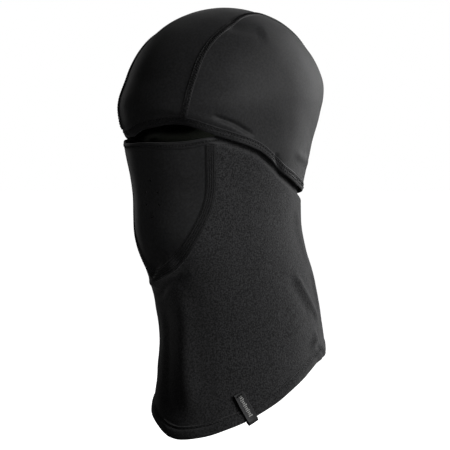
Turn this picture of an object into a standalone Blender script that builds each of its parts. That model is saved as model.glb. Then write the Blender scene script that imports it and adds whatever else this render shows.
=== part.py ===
"""Hinged ski balaclava: a stretch hood and a mask-and-neck piece joined at the nape.

Metres, +Z up. The wearer faces -Y and the wearer's left is +X.
The origin is the middle of the head, between the ears.

Every panel lies on one worn shape. A place on it is an angle round the head
(0 at the front centre, positive towards the wearer's left) and a rise: the
height itself up to the hood's girth, and the way up the dome's arc above it.
"""
import math

import bmesh
import bpy
from mathutils import Matrix, Vector

# ---- worn shape ---------------------------------------------------------------
GIRTH_RISE = 0.041          # height of the widest line round the brow and the back of the head
DOME_HEIGHT = 0.081         # girth line to the top of the hood
DOME_SETBACK = 0.006        # the dome's centre lies this much behind the girth's centre
DOME_SETBACK_START = 0.030  # it starts to move back at this height
DOME_SETBACK_REACH = 0.030  # and is all the way back this far above it
DOME_SLACK = 0.026          # the dome is this much slimmer than an ellipsoid halfway up

# height, front, back, half width: brow, ears, cheeks, jaw, chin, throat, collar, hem
# (the first row only mirrors the ears above the brow, which keeps the girth line smooth)
SECTIONS = (
    (0.082, -0.0920, 0.0870, 0.0730),
    (0.041, -0.0980, 0.1000, 0.0775),
    (0.000, -0.0920, 0.0870, 0.0730),
    (-0.040, -0.0840, 0.0770, 0.0670),
    (-0.080, -0.0815, 0.0815, 0.0645),
    (-0.120, -0.0650, 0.0970, 0.0630),
    (-0.160, -0.0540, 0.1065, 0.0630),
    (-0.200, -0.0555, 0.1120, 0.0670),
    (-0.260, -0.0660, 0.1200, 0.0760),
)

# ---- edges: (angle in degrees from the front centre, height) ----------------------
HOOD_EDGE = (
    (0, 0.0140), (28, 0.0170), (50, 0.0075), (75, -0.0040), (90, -0.0170),
    (99, -0.0245), (125, -0.0360), (180, -0.0430),
)
MASK_LIP = (
    (0, 0.0020), (30, 0.0025), (50, 0.0070), (68, 0.0055), (90, -0.0100),
    (99, -0.0175), (125, -0.0290), (180, -0.0360),
)
BOTTOM_EDGE = (
    (0, -0.2520), (20, -0.2500), (45, -0.2400), (70, -0.2225), (90, -0.2060),
    (115, -0.1890), (150, -0.1810), (180, -0.1780),
)

# ---- panels -------------------------------------------------------------------------
CROWN_HALF_WIDTH = 0.042    # crown panel over the forehead
CROWN_HALF_BROW = 0.037     # at the brow
CROWN_HALF_NAPE = 0.028     # and down the back of the head
CROWN_TAPER = (0.9, 1.9)    # it narrows between these turns over the dome, in radians
MASK_HALF_ANGLE = 46.0      # the mask panel reaches this far round each cheek
MASK_STRAIGHT_END = -0.030  # its side seams run straight down to here
MASK_BOTTOM = -0.107        # lowest point of the U, under the chin
CORNER_ANGLE = 28.0         # where the U turns from its sides to its bottom
U_TURN_ANGLE = 41.0         # the U seam is steeper than its bottom arc from here up
CORNER_TURN = 0.60          # a side panel's upper corners lie this far up the dome, in radians

SOFTSHELL = 0.0013          # hood and mask cloth
FLEECE = 0.0020             # brushed neck cloth
SEAM_GAP = 0.00035          # clearance between sewn neighbours
HEM_GAP = 0.0007            # and between a panel and its hem
FOLD_CURL = 0.0060          # the hood's front edge curls in this far under the brow
CURL_RISE = 0.0130          # over this height
CURL_ANGLES = (48.0, 20.0)  # and from the first angle forwards, fully from the second

# ---- hems -----------------------------------------------------------------------------
HOOD_HEM_WIDTH = 0.0070
HOOD_HEM_THICKNESS = 0.0022
LIP_HEM_WIDTH = 0.0060
LIP_HEM_THICKNESS = 0.0024
BOTTOM_HEM_WIDTH = 0.0110
BOTTOM_HEM_THICKNESS = 0.0034
BOTTOM_HEM_PROUD = 0.0006
LAP_INSET = 0.0046          # the neck piece tucks inside the hood's hem by this much
NAPE_INSET = 0.0034         # less at the nape, where they are joined
LAP_FADE = 0.0090           # and comes flush again this far below the hem
LAP_ANGLES = (38.0, 54.0)   # the tuck starts at the first angle, outside the open face
NAPE_ANGLES = (110.0, 160.0)
NECK_BACK_GAP = 0.4         # degrees between the two halves of the neck cloth's back edge

# ---- seams, stitches and trim -------------------------------------------------------------
FLATLOCK_WIDTH = 0.0065
FLATLOCK_THICKNESS = 0.0006
LIFT = 0.00045              # trim stands this far off the cloth under it
TRIM_CLEAR = 0.0010         # and ends this far short of its neighbours
CROWN_SEAM_CLEAR = 0.0040   # the crown seams end this far above the hood's hem
CROWN_SEAM_ENDS = (28.0, 160.0)
THREAD_RADIUS = 0.00045
LABEL_WIDTH = 0.0090
LABEL_FRONT = 0.0260        # outer leaf, above the bottom edge
LABEL_BACK = 0.0140         # inner leaf
LABEL_THICKNESS = 0.0005
LABEL_DROP = 0.0010         # the fold hangs this far below the hem's edge
LABEL_ANGLE = 56.0
LABEL_LEAN = math.radians(30.0)
LABEL_TACK_DROP = 0.0030    # the tack lies this far below the label's top
LABEL_TACK_HEIGHT = 0.0012
CARE_LABEL_SIZE = (0.024, 0.034)
CARE_LABEL_RISE = -0.115
TACK_ANGLE = 127.0
TACK_WIDTH = 0.0022
TACK_HEIGHT = 0.0058
TACK_RISE = 0.0015          # above the hem's edge
NAPE_SEAM_ANGLE = 28.0      # the nape join reaches this far each side of the centre back
NAPE_SEAM_HEIGHT = 0.0045
NAPE_SEAM_GAP = 0.0012      # it bridges the step under the hood's hem
HOLE_RADIUS = 0.0010        # breathing holes in front of the mouth
HOLES = (
    (0.0, -0.0300), (-6.0, -0.0400), (6.0, -0.0400),
    (-6.7, -0.0505), (6.7, -0.0505), (0.0, -0.0610),
)

# ---- hinge: the mask and neck piece swings about the nape seam ---------------------------
HINGE = Vector((0.0, 0.0770, -0.0440))

COLOURS = {
    "softshell": ((0.012, 0.012, 0.013), 0.62),
    "fleece": ((0.016, 0.016, 0.017), 0.95),
    "thread": ((0.020, 0.020, 0.021), 0.70),
    "label": ((0.010, 0.010, 0.011), 0.55),
    "satin": ((0.550, 0.550, 0.540), 0.50),
}


# ---- curves and the worn shape ------------------------------------------------------------
def smooth_lookup(table, column, where):
    """Smooth curve through one column of a table sorted by its first column."""
    keys = [row[0] for row in table]
    values = [row[column] for row in table]
    order = 1.0 if keys[-1] > keys[0] else -1.0
    last = len(keys) - 1
    where = max(order * keys[0], min(order * keys[last], order * where)) * order
    index = max(i for i in range(last) if order * keys[i] <= order * where)

    def slope(i):
        low, high = max(i - 1, 0), min(i + 1, last)
        return (values[high] - values[low]) / (keys[high] - keys[low])

    span = keys[index + 1] - keys[index]
    t = (where - keys[index]) / span
    start, end = values[index], values[index + 1]
    start_pull, end_pull = span * slope(index), span * slope(index + 1)
    return (
        (2 * t**3 - 3 * t**2 + 1) * start + (t**3 - 2 * t**2 + t) * start_pull
        + (3 * t**2 - 2 * t**3) * end + (t**3 - t**2) * end_pull
    )


def edge_height(table, degrees):
    """Height of an edge at an angle; both sides of the face are alike."""
    turned = abs((degrees + 180.0) % 360.0 - 180.0)
    return smooth_lookup(table, 1, turned)


def blend(low, high, value):
    """Smooth step from 0 at low to 1 at high."""
    t = max(0.0, min(1.0, (value - low) / (high - low)))
    return t * t * (3 - 2 * t)


def section(height):
    """Centre, half depth and half width of the worn shape below the girth."""
    front = smooth_lookup(SECTIONS, 1, height)
    back = smooth_lookup(SECTIONS, 2, height)
    return (front + back) / 2, (back - front) / 2, smooth_lookup(SECTIONS, 3, height)


def setback(height):
    return DOME_SETBACK * blend(0.0, DOME_SETBACK_REACH, height - DOME_SETBACK_START)


def dome_pull(arc):
    return 1.0 - DOME_SLACK * math.sin(2 * arc)


def cloth_point(degrees, rise, inset=0.0):
    """Point at an angle and a rise, moved inwards by inset."""
    angle = math.radians(degrees)
    arc = max(0.0, (rise - GIRTH_RISE) / DOME_HEIGHT)
    height = min(rise, GIRTH_RISE) + (DOME_HEIGHT - inset) * math.sin(arc)
    centre, depth, width = section(min(rise, GIRTH_RISE))
    shrink = math.cos(arc) * dome_pull(arc)
    return Vector((
        (width - inset) * shrink * math.sin(angle),
        centre + setback(height) - (depth - inset) * shrink * math.cos(angle),
        height,
    ))


def cloth_frame(degrees, rise, inset=0.0):
    """Point, sideways, upward and outward directions on the cloth."""
    step = 0.5
    reach = 0.001
    point = cloth_point(degrees, rise, inset)
    side = cloth_point(degrees + step, rise, inset) - cloth_point(degrees - step, rise, inset)
    up = cloth_point(degrees, rise + reach, inset) - cloth_point(degrees, rise - reach, inset)
    out = side.cross(up).normalized()
    side.normalize()
    return point, side, out.cross(side), out


def degrees_per_metre(degrees, rise):
    reach = (cloth_point(degrees + 0.5, rise) - cloth_point(degrees - 0.5, rise)).length
    return 1.0 / reach


def hood_inset(degrees, rise):
    """The hood's front edge curls in under the brow."""
    turned = abs((degrees + 180.0) % 360.0 - 180.0)
    above = rise - edge_height(HOOD_EDGE, degrees)
    return FOLD_CURL * blend(CURL_RISE, 0.0, above) ** 1.5 * blend(*CURL_ANGLES, turned)


def neck_inset(degrees, rise):
    """The neck piece tucks in under the hood's hem, but not at the open face."""
    turned = abs((degrees + 180.0) % 360.0 - 180.0)
    depth = LAP_INSET + (NAPE_INSET - LAP_INSET) * blend(*NAPE_ANGLES, turned)
    edge = edge_height(HOOD_EDGE, degrees)
    return depth * blend(edge - LAP_FADE, edge - TRIM_CLEAR, rise) * blend(*LAP_ANGLES, turned)


def hood_point(degrees, rise, inset=0.0):
    return cloth_point(degrees, rise, inset + hood_inset(degrees, rise))


def neck_point(degrees, rise, inset=0.0):
    return cloth_point(degrees, rise, inset + neck_inset(degrees, rise))


# ---- outlines of the panels -------------------------------------------------------------
def crown_half_over(turn):
    """Half width of the crown panel over the dome; turn is 0 at the brow, pi at the nape."""
    return CROWN_HALF_WIDTH + (CROWN_HALF_NAPE - CROWN_HALF_WIDTH) * blend(*CROWN_TAPER, turn)


def crown_half_below(rise, behind):
    """Half width of the crown panel below the girth."""
    if behind:
        return CROWN_HALF_NAPE
    share = blend(0.010, GIRTH_RISE, rise)
    return CROWN_HALF_BROW + (CROWN_HALF_WIDTH - CROWN_HALF_BROW) * share


def crown_seam_over(turn):
    """(angle, rise) of the left crown seam over the dome."""
    _, _, width = section(GIRTH_RISE)
    share = crown_half_over(turn) / width
    shrink = math.sqrt(1.0 - share**2)
    degrees = math.degrees(math.atan2(share, shrink * math.cos(turn)))
    return degrees, GIRTH_RISE + DOME_HEIGHT * math.asin(shrink * math.sin(turn))


def crown_seam_angle(rise, behind):
    """Angle of the left crown seam at a rise below the girth."""
    _, _, width = section(rise)
    angle = math.degrees(math.asin(crown_half_below(rise, behind) / width))
    return 180.0 - angle if behind else angle


def crown_seam_up(low, way, behind):
    """(angle, rise) of the left crown seam, a way above its low end; CORNER_TURN ends it."""
    skirt = GIRTH_RISE - low
    dome = CORNER_TURN * DOME_HEIGHT
    climbed = way * (skirt + dome)
    if climbed <= skirt:
        return crown_seam_angle(low + climbed, behind), low + climbed
    turn = CORNER_TURN * (climbed - skirt) / dome
    return crown_seam_over(math.pi - turn if behind else turn)


def mask_angle(rise):
    """Half angle of the U-shaped mask seam at a height."""
    t = max(0.0, (rise - MASK_STRAIGHT_END) / (MASK_BOTTOM - MASK_STRAIGHT_END))
    return MASK_HALF_ANGLE * max(0.0, 1.0 - min(t, 1.0) ** 2) ** (2 / 3)


def mask_rise(degrees):
    """Height of the mask seam at an angle, on the curved part of the U."""
    share = 1.0 - (min(abs(degrees), MASK_HALF_ANGLE) / MASK_HALF_ANGLE) ** 1.5
    return MASK_STRAIGHT_END + (MASK_BOTTOM - MASK_STRAIGHT_END) * math.sqrt(share)


def coons(u, v, bottom, top, left, right):
    """Fill a four-sided outline; each side is a function of 0..1 giving (angle, rise)."""
    low, high, first, last = bottom(u), top(u), left(v), right(v)
    corners = (bottom(0.0), bottom(1.0), top(0.0), top(1.0))
    weights = ((1 - u) * (1 - v), u * (1 - v), (1 - u) * v, u * v)
    return tuple(
        (1 - v) * low[i] + v * high[i] + (1 - u) * first[i] + u * last[i]
        - sum(weight * corner[i] for weight, corner in zip(weights, corners))
        for i in (0, 1)
    )


# ---- scene set-up and builders ---------------------------------------------------------------
def clear_scene():
    for item in list(bpy.data.objects):
        bpy.data.objects.remove(item, do_unlink=True)


def new_collection(name):
    collection = bpy.data.collections.new(name)
    bpy.context.scene.collection.children.link(collection)
    return collection


def make_material(name):
    colour, roughness = COLOURS[name]
    material = bpy.data.materials.new(name)
    material.use_nodes = True
    shader = material.node_tree.nodes["Principled BSDF"]
    shader.inputs["Base Color"].default_value = (*colour, 1.0)
    shader.inputs["Roughness"].default_value = roughness
    return material


def add_object(name, data, material, moves):
    item = bpy.data.objects.new(name, data)
    PARTS.objects.link(item)
    data.materials.append(MATERIALS[material])
    if moves:
        item.parent = HINGE_EMPTY
        item.matrix_parent_inverse = Matrix.Translation(-HINGE)
    return item


def sheet(name, material, cells, locate, thickness, moves=False, closed=False, mirrored=False):
    """Grid bent onto the worn shape by locate(u, v), thickened inwards."""
    grid = bmesh.new()
    bmesh.ops.create_grid(grid, x_segments=cells[0], y_segments=cells[1], size=0.5)
    for vert in grid.verts:
        vert.co = locate(vert.co.x + 0.5, vert.co.y + 0.5)
    if closed:
        bmesh.ops.remove_doubles(grid, verts=grid.verts, dist=1e-6)
    mesh = bpy.data.meshes.new(name)
    grid.to_mesh(mesh)
    grid.free()
    mesh.shade_smooth()
    item = add_object(name, mesh, material, moves)
    if mirrored:
        mirror = item.modifiers.new("other_side", "MIRROR")
        mirror.merge_threshold = 0.0001
    solid = item.modifiers.new("cloth", "SOLIDIFY")
    solid.thickness = thickness
    solid.offset = -1.0
    return item


def thread(name, points, closed, moves=False):
    """Round thread through a list of points."""
    curve = bpy.data.curves.new(name, "CURVE")
    curve.dimensions = "3D"
    curve.bevel_depth = THREAD_RADIUS
    curve.bevel_resolution = 0
    curve.use_fill_caps = True
    spline = curve.splines.new("POLY")
    spline.points.add(len(points) - 1)
    spline.use_cyclic_u = closed
    for target, point in zip(spline.points, points):
        target.co = (*point, 1.0)
    return add_object(name, curve, "thread", moves)


def band(name, material, edge, offsets, cells, surface, inset, thickness, moves):
    """Closed band that follows an edge; offsets are its lower and upper heights over it."""
    low, high = offsets

    def locate(u, v):
        degrees = 360.0 * u - 180.0
        return surface(degrees, edge_height(edge, degrees) + low + (high - low) * v, inset)

    return sheet(name, material, cells, locate, thickness, moves, closed=True)


def flatlock(name, route, steps, surface, moves, width=FLATLOCK_WIDTH, gap=LIFT):
    """Flat seam band across a route of (angle, rise), lying a gap off the cloth."""
    lift = gap + FLATLOCK_THICKNESS

    def locate(u, v):
        degrees, rise = route(u)
        before, after = route(max(u - 0.01, 0.0)), route(min(u + 0.01, 1.0))
        turn = degrees_per_metre(degrees, rise)
        heading = math.atan2(after[1] - before[1], (after[0] - before[0]) / turn)
        across = (v - 0.5) * width
        return surface(degrees - across * math.sin(heading) * turn,
                       rise + across * math.cos(heading), -lift)

    return sheet(name, "thread", (steps, 1), locate, FLATLOCK_THICKNESS, moves)


# ---- hood ---------------------------------------------------------------------------------------
def hood_cloth_edge(degrees):
    return edge_height(HOOD_EDGE, degrees) + HOOD_HEM_WIDTH + HEM_GAP


def crown_location(across, along):
    """Point on the crown panel; across is -1..1, along is 0 at the brow and 1 at the nape."""
    front_share, back_share = 0.10, 0.26
    if along < front_share or along > 1.0 - back_share:
        behind = along > 0.5
        share = (1.0 - along) / back_share if behind else along / front_share
        low = 0.0
        for _ in range(6):
            degrees = across * crown_cloth_angle(low, behind)
            low = hood_cloth_edge(180.0 - degrees if behind else degrees)
        rise = low + (GIRTH_RISE - low) * share
        degrees = across * crown_cloth_angle(rise, behind)
        return hood_point(180.0 - degrees if behind else degrees, rise)
    turn = math.pi * (along - front_share) / (1.0 - front_share - back_share)
    centre, depth, width = section(GIRTH_RISE)
    x = across * (crown_half_over(turn) - SEAM_GAP / 2)
    shrink = math.sqrt(1.0 - (x / width) ** 2)
    pull = dome_pull(math.asin(shrink * math.sin(turn)))
    height = GIRTH_RISE + DOME_HEIGHT * shrink * math.sin(turn)
    forward = depth * shrink * math.cos(turn) * pull
    return Vector((x * pull, centre + setback(height) - forward, height))


def crown_cloth_angle(rise, behind):
    """Angle of the crown panel's own edge, just inside the seam."""
    _, _, width = section(rise)
    return math.degrees(math.asin((crown_half_below(rise, behind) - SEAM_GAP / 2) / width))


def side_outline(side_gap):
    """Four sides of the left side panel, as functions of 0..1."""
    gap_degrees = side_gap * degrees_per_metre(45.0, GIRTH_RISE)

    def corner(behind):
        rise = 0.0
        for _ in range(8):
            degrees = crown_seam_angle(rise, behind)
            rise = hood_cloth_edge(degrees)
        return rise

    front_low, back_low = corner(False), corner(True)

    def edge(v, behind):
        degrees, rise = crown_seam_up(back_low if behind else front_low, v, behind)
        return degrees + (-gap_degrees if behind else gap_degrees), rise

    def front(v):
        return edge(v, False)

    def back(v):
        return edge(v, True)

    def bottom(u):
        degrees = front(0.0)[0] + (back(0.0)[0] - front(0.0)[0]) * u
        return degrees, hood_cloth_edge(degrees)

    def top(u):
        degrees, rise = crown_seam_over(CORNER_TURN + (math.pi - 2.0 * CORNER_TURN) * u)
        drop = side_gap * 2.0 * math.sin(math.pi * u)
        return degrees + gap_degrees * (1.0 - 2.0 * u), rise - drop

    return bottom, top, front, back


def build_crown_panel():
    def locate(u, v):
        return crown_location(2.0 * u - 1.0, v)

    sheet("crown_panel", "softshell", (8, 28), locate, SOFTSHELL)


def build_side_panels():
    outline = side_outline(SEAM_GAP)
    for name, side in (("side_panel_left", 1), ("side_panel_right", -1)):
        def locate(u, v, side=side):
            degrees, rise = coons(u if side > 0 else 1.0 - u, v, *outline)
            return hood_point(side * degrees, rise)

        sheet(name, "softshell", (16, 11), locate, SOFTSHELL)


def crown_seam_route(t):
    """(angle, rise) along the left crown seam from the brow to the nape."""
    if t < 0.2:
        return crown_seam_up(hood_cloth_edge(CROWN_SEAM_ENDS[0]) + CROWN_SEAM_CLEAR, t / 0.2, False)
    if t > 0.7:
        return crown_seam_up(hood_cloth_edge(CROWN_SEAM_ENDS[1]) + CROWN_SEAM_CLEAR, (1.0 - t) / 0.3, True)
    return crown_seam_over(CORNER_TURN + (math.pi - 2.0 * CORNER_TURN) * (t - 0.2) / 0.5)


def build_crown_seams():
    for name, side in (("crown_seam_left", 1), ("crown_seam_right", -1)):
        def route(t, side=side):
            degrees, rise = crown_seam_route(t)
            return side * degrees, rise

        flatlock(name, route, 36, hood_point, moves=False)


def build_hood_hem():
    band("hood_hem", "softshell", HOOD_EDGE, (0.0, HOOD_HEM_WIDTH), (56, 1), hood_point,
         0.0, HOOD_HEM_THICKNESS, moves=False)
    points = []
    for step in range(56):
        degrees = 360.0 * step / 56
        rise = hood_cloth_edge(degrees) + THREAD_RADIUS
        points.append(hood_point(degrees, rise, -LIFT - THREAD_RADIUS))
    thread("hood_hem_stitching", points, closed=True)


# ---- mask and neck ----------------------------------------------------------------------------
def lip_cloth_edge(degrees):
    return edge_height(MASK_LIP, degrees) - LIP_HEM_WIDTH - HEM_GAP


def mask_outline(gap):
    """Four sides of the mask panel; gap pulls the outline in from the seam line."""
    turn = mask_rise(CORNER_ANGLE)
    gap_degrees = gap * degrees_per_metre(MASK_HALF_ANGLE, MASK_STRAIGHT_END)

    def bottom(u):
        degrees = CORNER_ANGLE * (2.0 * u - 1.0)
        return degrees * (1.0 - gap_degrees / CORNER_ANGLE), mask_rise(degrees) + gap

    def flank(v, side):
        top = lip_cloth_edge(MASK_HALF_ANGLE)
        rise = turn + gap * (1.0 - v) + (top - turn) * v
        angle = mask_angle(turn + (top - turn) * v) - gap_degrees
        return side * angle, rise

    def left(v):
        return flank(v, -1)

    def right(v):
        return flank(v, 1)

    def top(u):
        degrees = right(1.0)[0] * (2.0 * u - 1.0)
        return degrees, lip_cloth_edge(degrees)

    return bottom, top, left, right


def build_mask_panel(cutters):
    outline = mask_outline(SEAM_GAP)

    def locate(u, v):
        return neck_point(*coons(u, v, *outline))

    panel = sheet("mask_panel", "softshell", (12, 12), locate, SOFTSHELL, moves=True)
    for number, (degrees, rise) in enumerate(HOLES):
        point, _, _, out = cloth_frame(degrees, rise)
        drill = bmesh.new()
        bmesh.ops.create_cone(drill, cap_ends=True, segments=8, radius1=HOLE_RADIUS,
                              radius2=HOLE_RADIUS, depth=0.010)
        mesh = bpy.data.meshes.new(f"hole_cutter_{number}")
        drill.to_mesh(mesh)
        drill.free()
        cutter = bpy.data.objects.new(mesh.name, mesh)
        cutters.objects.link(cutter)
        cutter.location = point
        cutter.rotation_euler = out.to_track_quat("Z", "Y").to_euler()
        cutter.hide_render = True
        cutter.display_type = "WIRE"
        cut = panel.modifiers.new(f"hole_{number}", "BOOLEAN")
        cut.operation = "DIFFERENCE"
        cut.object = cutter


def build_neck_panel():
    """Left half of the neck cloth, mirrored at the front centre."""
    front_share = 0.42
    front_low = edge_height(BOTTOM_EDGE, 0.0) + BOTTOM_HEM_WIDTH + HEM_GAP
    back_end = 180.0 - NECK_BACK_GAP
    gap_degrees = SEAM_GAP * degrees_per_metre(MASK_HALF_ANGLE, MASK_STRAIGHT_END)
    seam_top = lip_cloth_edge(MASK_HALF_ANGLE)

    def bottom(u):
        degrees = back_end * u
        return degrees, edge_height(BOTTOM_EDGE, degrees) + BOTTOM_HEM_WIDTH + HEM_GAP

    def front(v):
        seam_low = MASK_BOTTOM - SEAM_GAP
        if v <= front_share:
            return 0.0, front_low + (seam_low - front_low) * v / front_share
        turn = 0.5 * math.pi * (v - front_share) / (1.0 - front_share)
        if turn < math.pi / 4:
            degrees = U_TURN_ANGLE * math.sin(turn) / math.sin(math.pi / 4)
            rise = mask_rise(degrees)
        else:
            start = mask_rise(U_TURN_ANGLE)
            rise = start + (seam_top - start) * (turn / (math.pi / 4) - 1.0)
            degrees = mask_angle(rise)
        share = degrees / MASK_HALF_ANGLE
        return degrees + gap_degrees * share, rise - SEAM_GAP * (1.0 - share)

    def back(v):
        low = bottom(1.0)[1]
        return back_end, low + (lip_cloth_edge(180.0) - low) * v

    def top(u):
        start = front(1.0)[0]
        degrees = start + (back_end - start) * u
        return degrees, lip_cloth_edge(degrees)

    def locate(u, v):
        point = neck_point(*coons(u, v, bottom, top, front, back))
        if u < 1e-6 and v <= front_share + 1e-6:
            point.x = 0.0
        return point

    sheet("neck_panel", "fleece", (20, 15), locate, FLEECE, moves=True, mirrored=True)


def mask_seam_route(t):
    """(angle, rise) along the U seam, from the right cheek under the chin to the left."""
    turn = math.pi * (t - 0.5)
    side = 1.0 if turn >= 0 else -1.0
    turn = abs(turn)
    if turn < math.pi / 4:
        degrees = U_TURN_ANGLE * math.sin(turn) / math.sin(math.pi / 4)
        return side * degrees, mask_rise(degrees)
    start = mask_rise(U_TURN_ANGLE)
    end = lip_cloth_edge(MASK_HALF_ANGLE) - TRIM_CLEAR
    rise = start + (end - start) * (turn / (math.pi / 4) - 1.0)
    return side * mask_angle(rise), rise


def build_mask_trim():
    band("mask_top_hem", "softshell", MASK_LIP, (-LIP_HEM_WIDTH, 0.0), (56, 1), neck_point,
         0.0, LIP_HEM_THICKNESS, moves=True)
    points = []
    for step in range(33):
        degrees = -48.0 + 3.0 * step
        rise = edge_height(MASK_LIP, degrees) - 0.75 * LIP_HEM_WIDTH
        points.append(neck_point(degrees, rise, -LIFT - THREAD_RADIUS))
    thread("mask_top_stitching", points, closed=False, moves=True)
    flatlock("mask_seam", mask_seam_route, 40, neck_point, moves=True)


def build_neck_trim():
    hem_top = BOTTOM_HEM_WIDTH + HEM_GAP
    nape_low = edge_height(HOOD_EDGE, 180.0) - NAPE_SEAM_HEIGHT - 2 * TRIM_CLEAR

    def back_route(t):
        low = edge_height(BOTTOM_EDGE, 180.0) + hem_top + TRIM_CLEAR
        return 180.0, low + (nape_low - TRIM_CLEAR - low) * t

    def nape_route(t):
        degrees = 180.0 - NAPE_SEAM_ANGLE + 2.0 * NAPE_SEAM_ANGLE * t
        return degrees, edge_height(HOOD_EDGE, degrees) - NAPE_SEAM_HEIGHT / 2 - TRIM_CLEAR

    flatlock("neck_back_seam", back_route, 16, neck_point, moves=True)
    flatlock("nape_seam", nape_route, 16, neck_point, moves=True, width=NAPE_SEAM_HEIGHT,
             gap=NAPE_SEAM_GAP)
    band("bottom_hem", "fleece", BOTTOM_EDGE, (0.0, BOTTOM_HEM_WIDTH), (56, 1), neck_point,
         -BOTTOM_HEM_PROUD, BOTTOM_HEM_THICKNESS, moves=True)
    points = []
    for step in range(56):
        degrees = 360.0 * step / 56
        rise = edge_height(BOTTOM_EDGE, degrees) + 0.85 * BOTTOM_HEM_WIDTH
        points.append(neck_point(degrees, rise, -BOTTOM_HEM_PROUD - LIFT - THREAD_RADIUS))
    thread("bottom_hem_stitching", points, closed=True, moves=True)


def shifted(degrees, rise, along, up, lean):
    """Move over the cloth by metres along and up, turned by the lean towards the front."""
    sideways = along * math.cos(lean) - up * math.sin(lean)
    upward = along * math.sin(lean) + up * math.cos(lean)
    return degrees + sideways * degrees_per_metre(degrees, rise), rise + upward


def build_labels():
    edge = edge_height(BOTTOM_EDGE, LABEL_ANGLE)
    outside = -(BOTTOM_HEM_PROUD + 2.0 * LIFT + 2.0 * THREAD_RADIUS + LABEL_THICKNESS)
    inside = BOTTOM_HEM_THICKNESS - BOTTOM_HEM_PROUD + LIFT + LABEL_THICKNESS
    radius = (inside - outside) / 2

    def leaf(t):
        """Height over the edge and inset along the folded label, inner end to outer end."""
        path = LABEL_BACK + LABEL_FRONT + math.pi * radius
        way = t * path
        if way < LABEL_BACK:
            return LABEL_BACK - way, inside
        turn = (way - LABEL_BACK) / radius
        if turn < math.pi:
            return -radius * math.sin(turn), (inside + outside) / 2 + radius * math.cos(turn)
        return way - LABEL_BACK - math.pi * radius, outside

    def locate_label(u, v):
        height, inset = leaf(v)
        spot = shifted(LABEL_ANGLE, edge - LABEL_DROP, (u - 0.5) * LABEL_WIDTH, height,
                       LABEL_LEAN)
        return neck_point(*spot, inset)

    sheet("woven_label", "label", (3, 26), locate_label, LABEL_THICKNESS, moves=True)

    def locate_tack(u, v):
        spot = shifted(LABEL_ANGLE, edge - LABEL_DROP, (u - 0.5) * 0.8 * LABEL_WIDTH,
                       LABEL_FRONT - LABEL_TACK_DROP + LABEL_TACK_HEIGHT * v, LABEL_LEAN)
        return neck_point(*spot, outside - LIFT - FLATLOCK_THICKNESS)

    sheet("label_tack", "thread", (2, 1), locate_tack, FLATLOCK_THICKNESS, moves=True)

    def locate_hem_tack(u, v):
        low = edge_height(BOTTOM_EDGE, TACK_ANGLE) + TACK_RISE
        spot = shifted(TACK_ANGLE, low, (u - 0.5) * TACK_WIDTH, TACK_HEIGHT * v, 0.0)
        return neck_point(*spot, -BOTTOM_HEM_PROUD - LIFT - FLATLOCK_THICKNESS)

    sheet("hem_tack", "thread", (1, 2), locate_hem_tack, FLATLOCK_THICKNESS, moves=True)

    def locate_care(u, v):
        width, length = CARE_LABEL_SIZE
        spot = shifted(180.0, CARE_LABEL_RISE, (u - 0.5) * width, -length * (1.0 - v), 0.0)
        return neck_point(*spot, FLEECE + LIFT)

    sheet("care_label", "satin", (4, 4), locate_care, LABEL_THICKNESS, moves=True)


clear_scene()
PARTS = new_collection("balaclava")
CUTTERS = new_collection("cutters")
MATERIALS = {name: make_material(name) for name in COLOURS}
HINGE_EMPTY = bpy.data.objects.new("nape_hinge", None)
HINGE_EMPTY.location = HINGE
PARTS.objects.link(HINGE_EMPTY)

build_crown_panel()
build_side_panels()
build_crown_seams()
build_hood_hem()
build_mask_panel(CUTTERS)
build_neck_panel()
build_mask_trim()
build_neck_trim()
build_labels()
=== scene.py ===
"""Looks of a hinged two-fabric ski balaclava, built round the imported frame.

Metres, +Z up. The wearer faces -Y and the wearer's left is +X. A place on the cloth is
an angle round the head (0 at the front centre) and a rise: the height up to the hood's
girth, and the way up the dome's arc above it.
"""
import math
from functools import partial

import bmesh
import bpy
import numpy as np
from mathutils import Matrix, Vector, noise


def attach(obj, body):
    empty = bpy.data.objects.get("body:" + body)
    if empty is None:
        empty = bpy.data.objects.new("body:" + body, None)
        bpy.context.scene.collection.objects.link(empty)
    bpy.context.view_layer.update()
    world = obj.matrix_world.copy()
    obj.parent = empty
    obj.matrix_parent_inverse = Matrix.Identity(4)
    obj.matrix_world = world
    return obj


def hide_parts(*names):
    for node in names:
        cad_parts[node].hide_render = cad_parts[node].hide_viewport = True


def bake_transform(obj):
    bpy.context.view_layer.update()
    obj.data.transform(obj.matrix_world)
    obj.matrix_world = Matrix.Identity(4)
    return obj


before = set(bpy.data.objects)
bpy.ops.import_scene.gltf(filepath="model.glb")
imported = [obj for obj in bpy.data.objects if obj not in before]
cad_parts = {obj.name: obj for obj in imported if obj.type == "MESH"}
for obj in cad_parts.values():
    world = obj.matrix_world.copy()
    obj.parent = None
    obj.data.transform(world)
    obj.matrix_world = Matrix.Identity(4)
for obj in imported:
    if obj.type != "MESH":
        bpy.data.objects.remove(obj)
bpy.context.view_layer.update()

HOOD = "hood"
LOWER = "mask_and_neck"

# ---- worn shape, as in the frame ----
GIRTH_RISE = 0.041
DOME_HEIGHT = 0.081
DOME_SETBACK = 0.006
DOME_SETBACK_START = 0.030
DOME_SETBACK_REACH = 0.030
DOME_SLACK = 0.026

# height, front, back, half width: brow, ears, cheeks, jaw, chin, throat, collar, hem
# (the first row mirrors the ears above the brow and keeps the girth line smooth)
SECTIONS = (
    (0.082, -0.0920, 0.0870, 0.0730),
    (0.041, -0.0980, 0.1000, 0.0775),
    (0.000, -0.0920, 0.0870, 0.0730),
    (-0.040, -0.0840, 0.0770, 0.0670),
    (-0.080, -0.0815, 0.0815, 0.0645),
    (-0.120, -0.0650, 0.0970, 0.0630),
    (-0.160, -0.0540, 0.1065, 0.0630),
    (-0.200, -0.0555, 0.1120, 0.0670),
    (-0.260, -0.0660, 0.1200, 0.0760),
)

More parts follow.
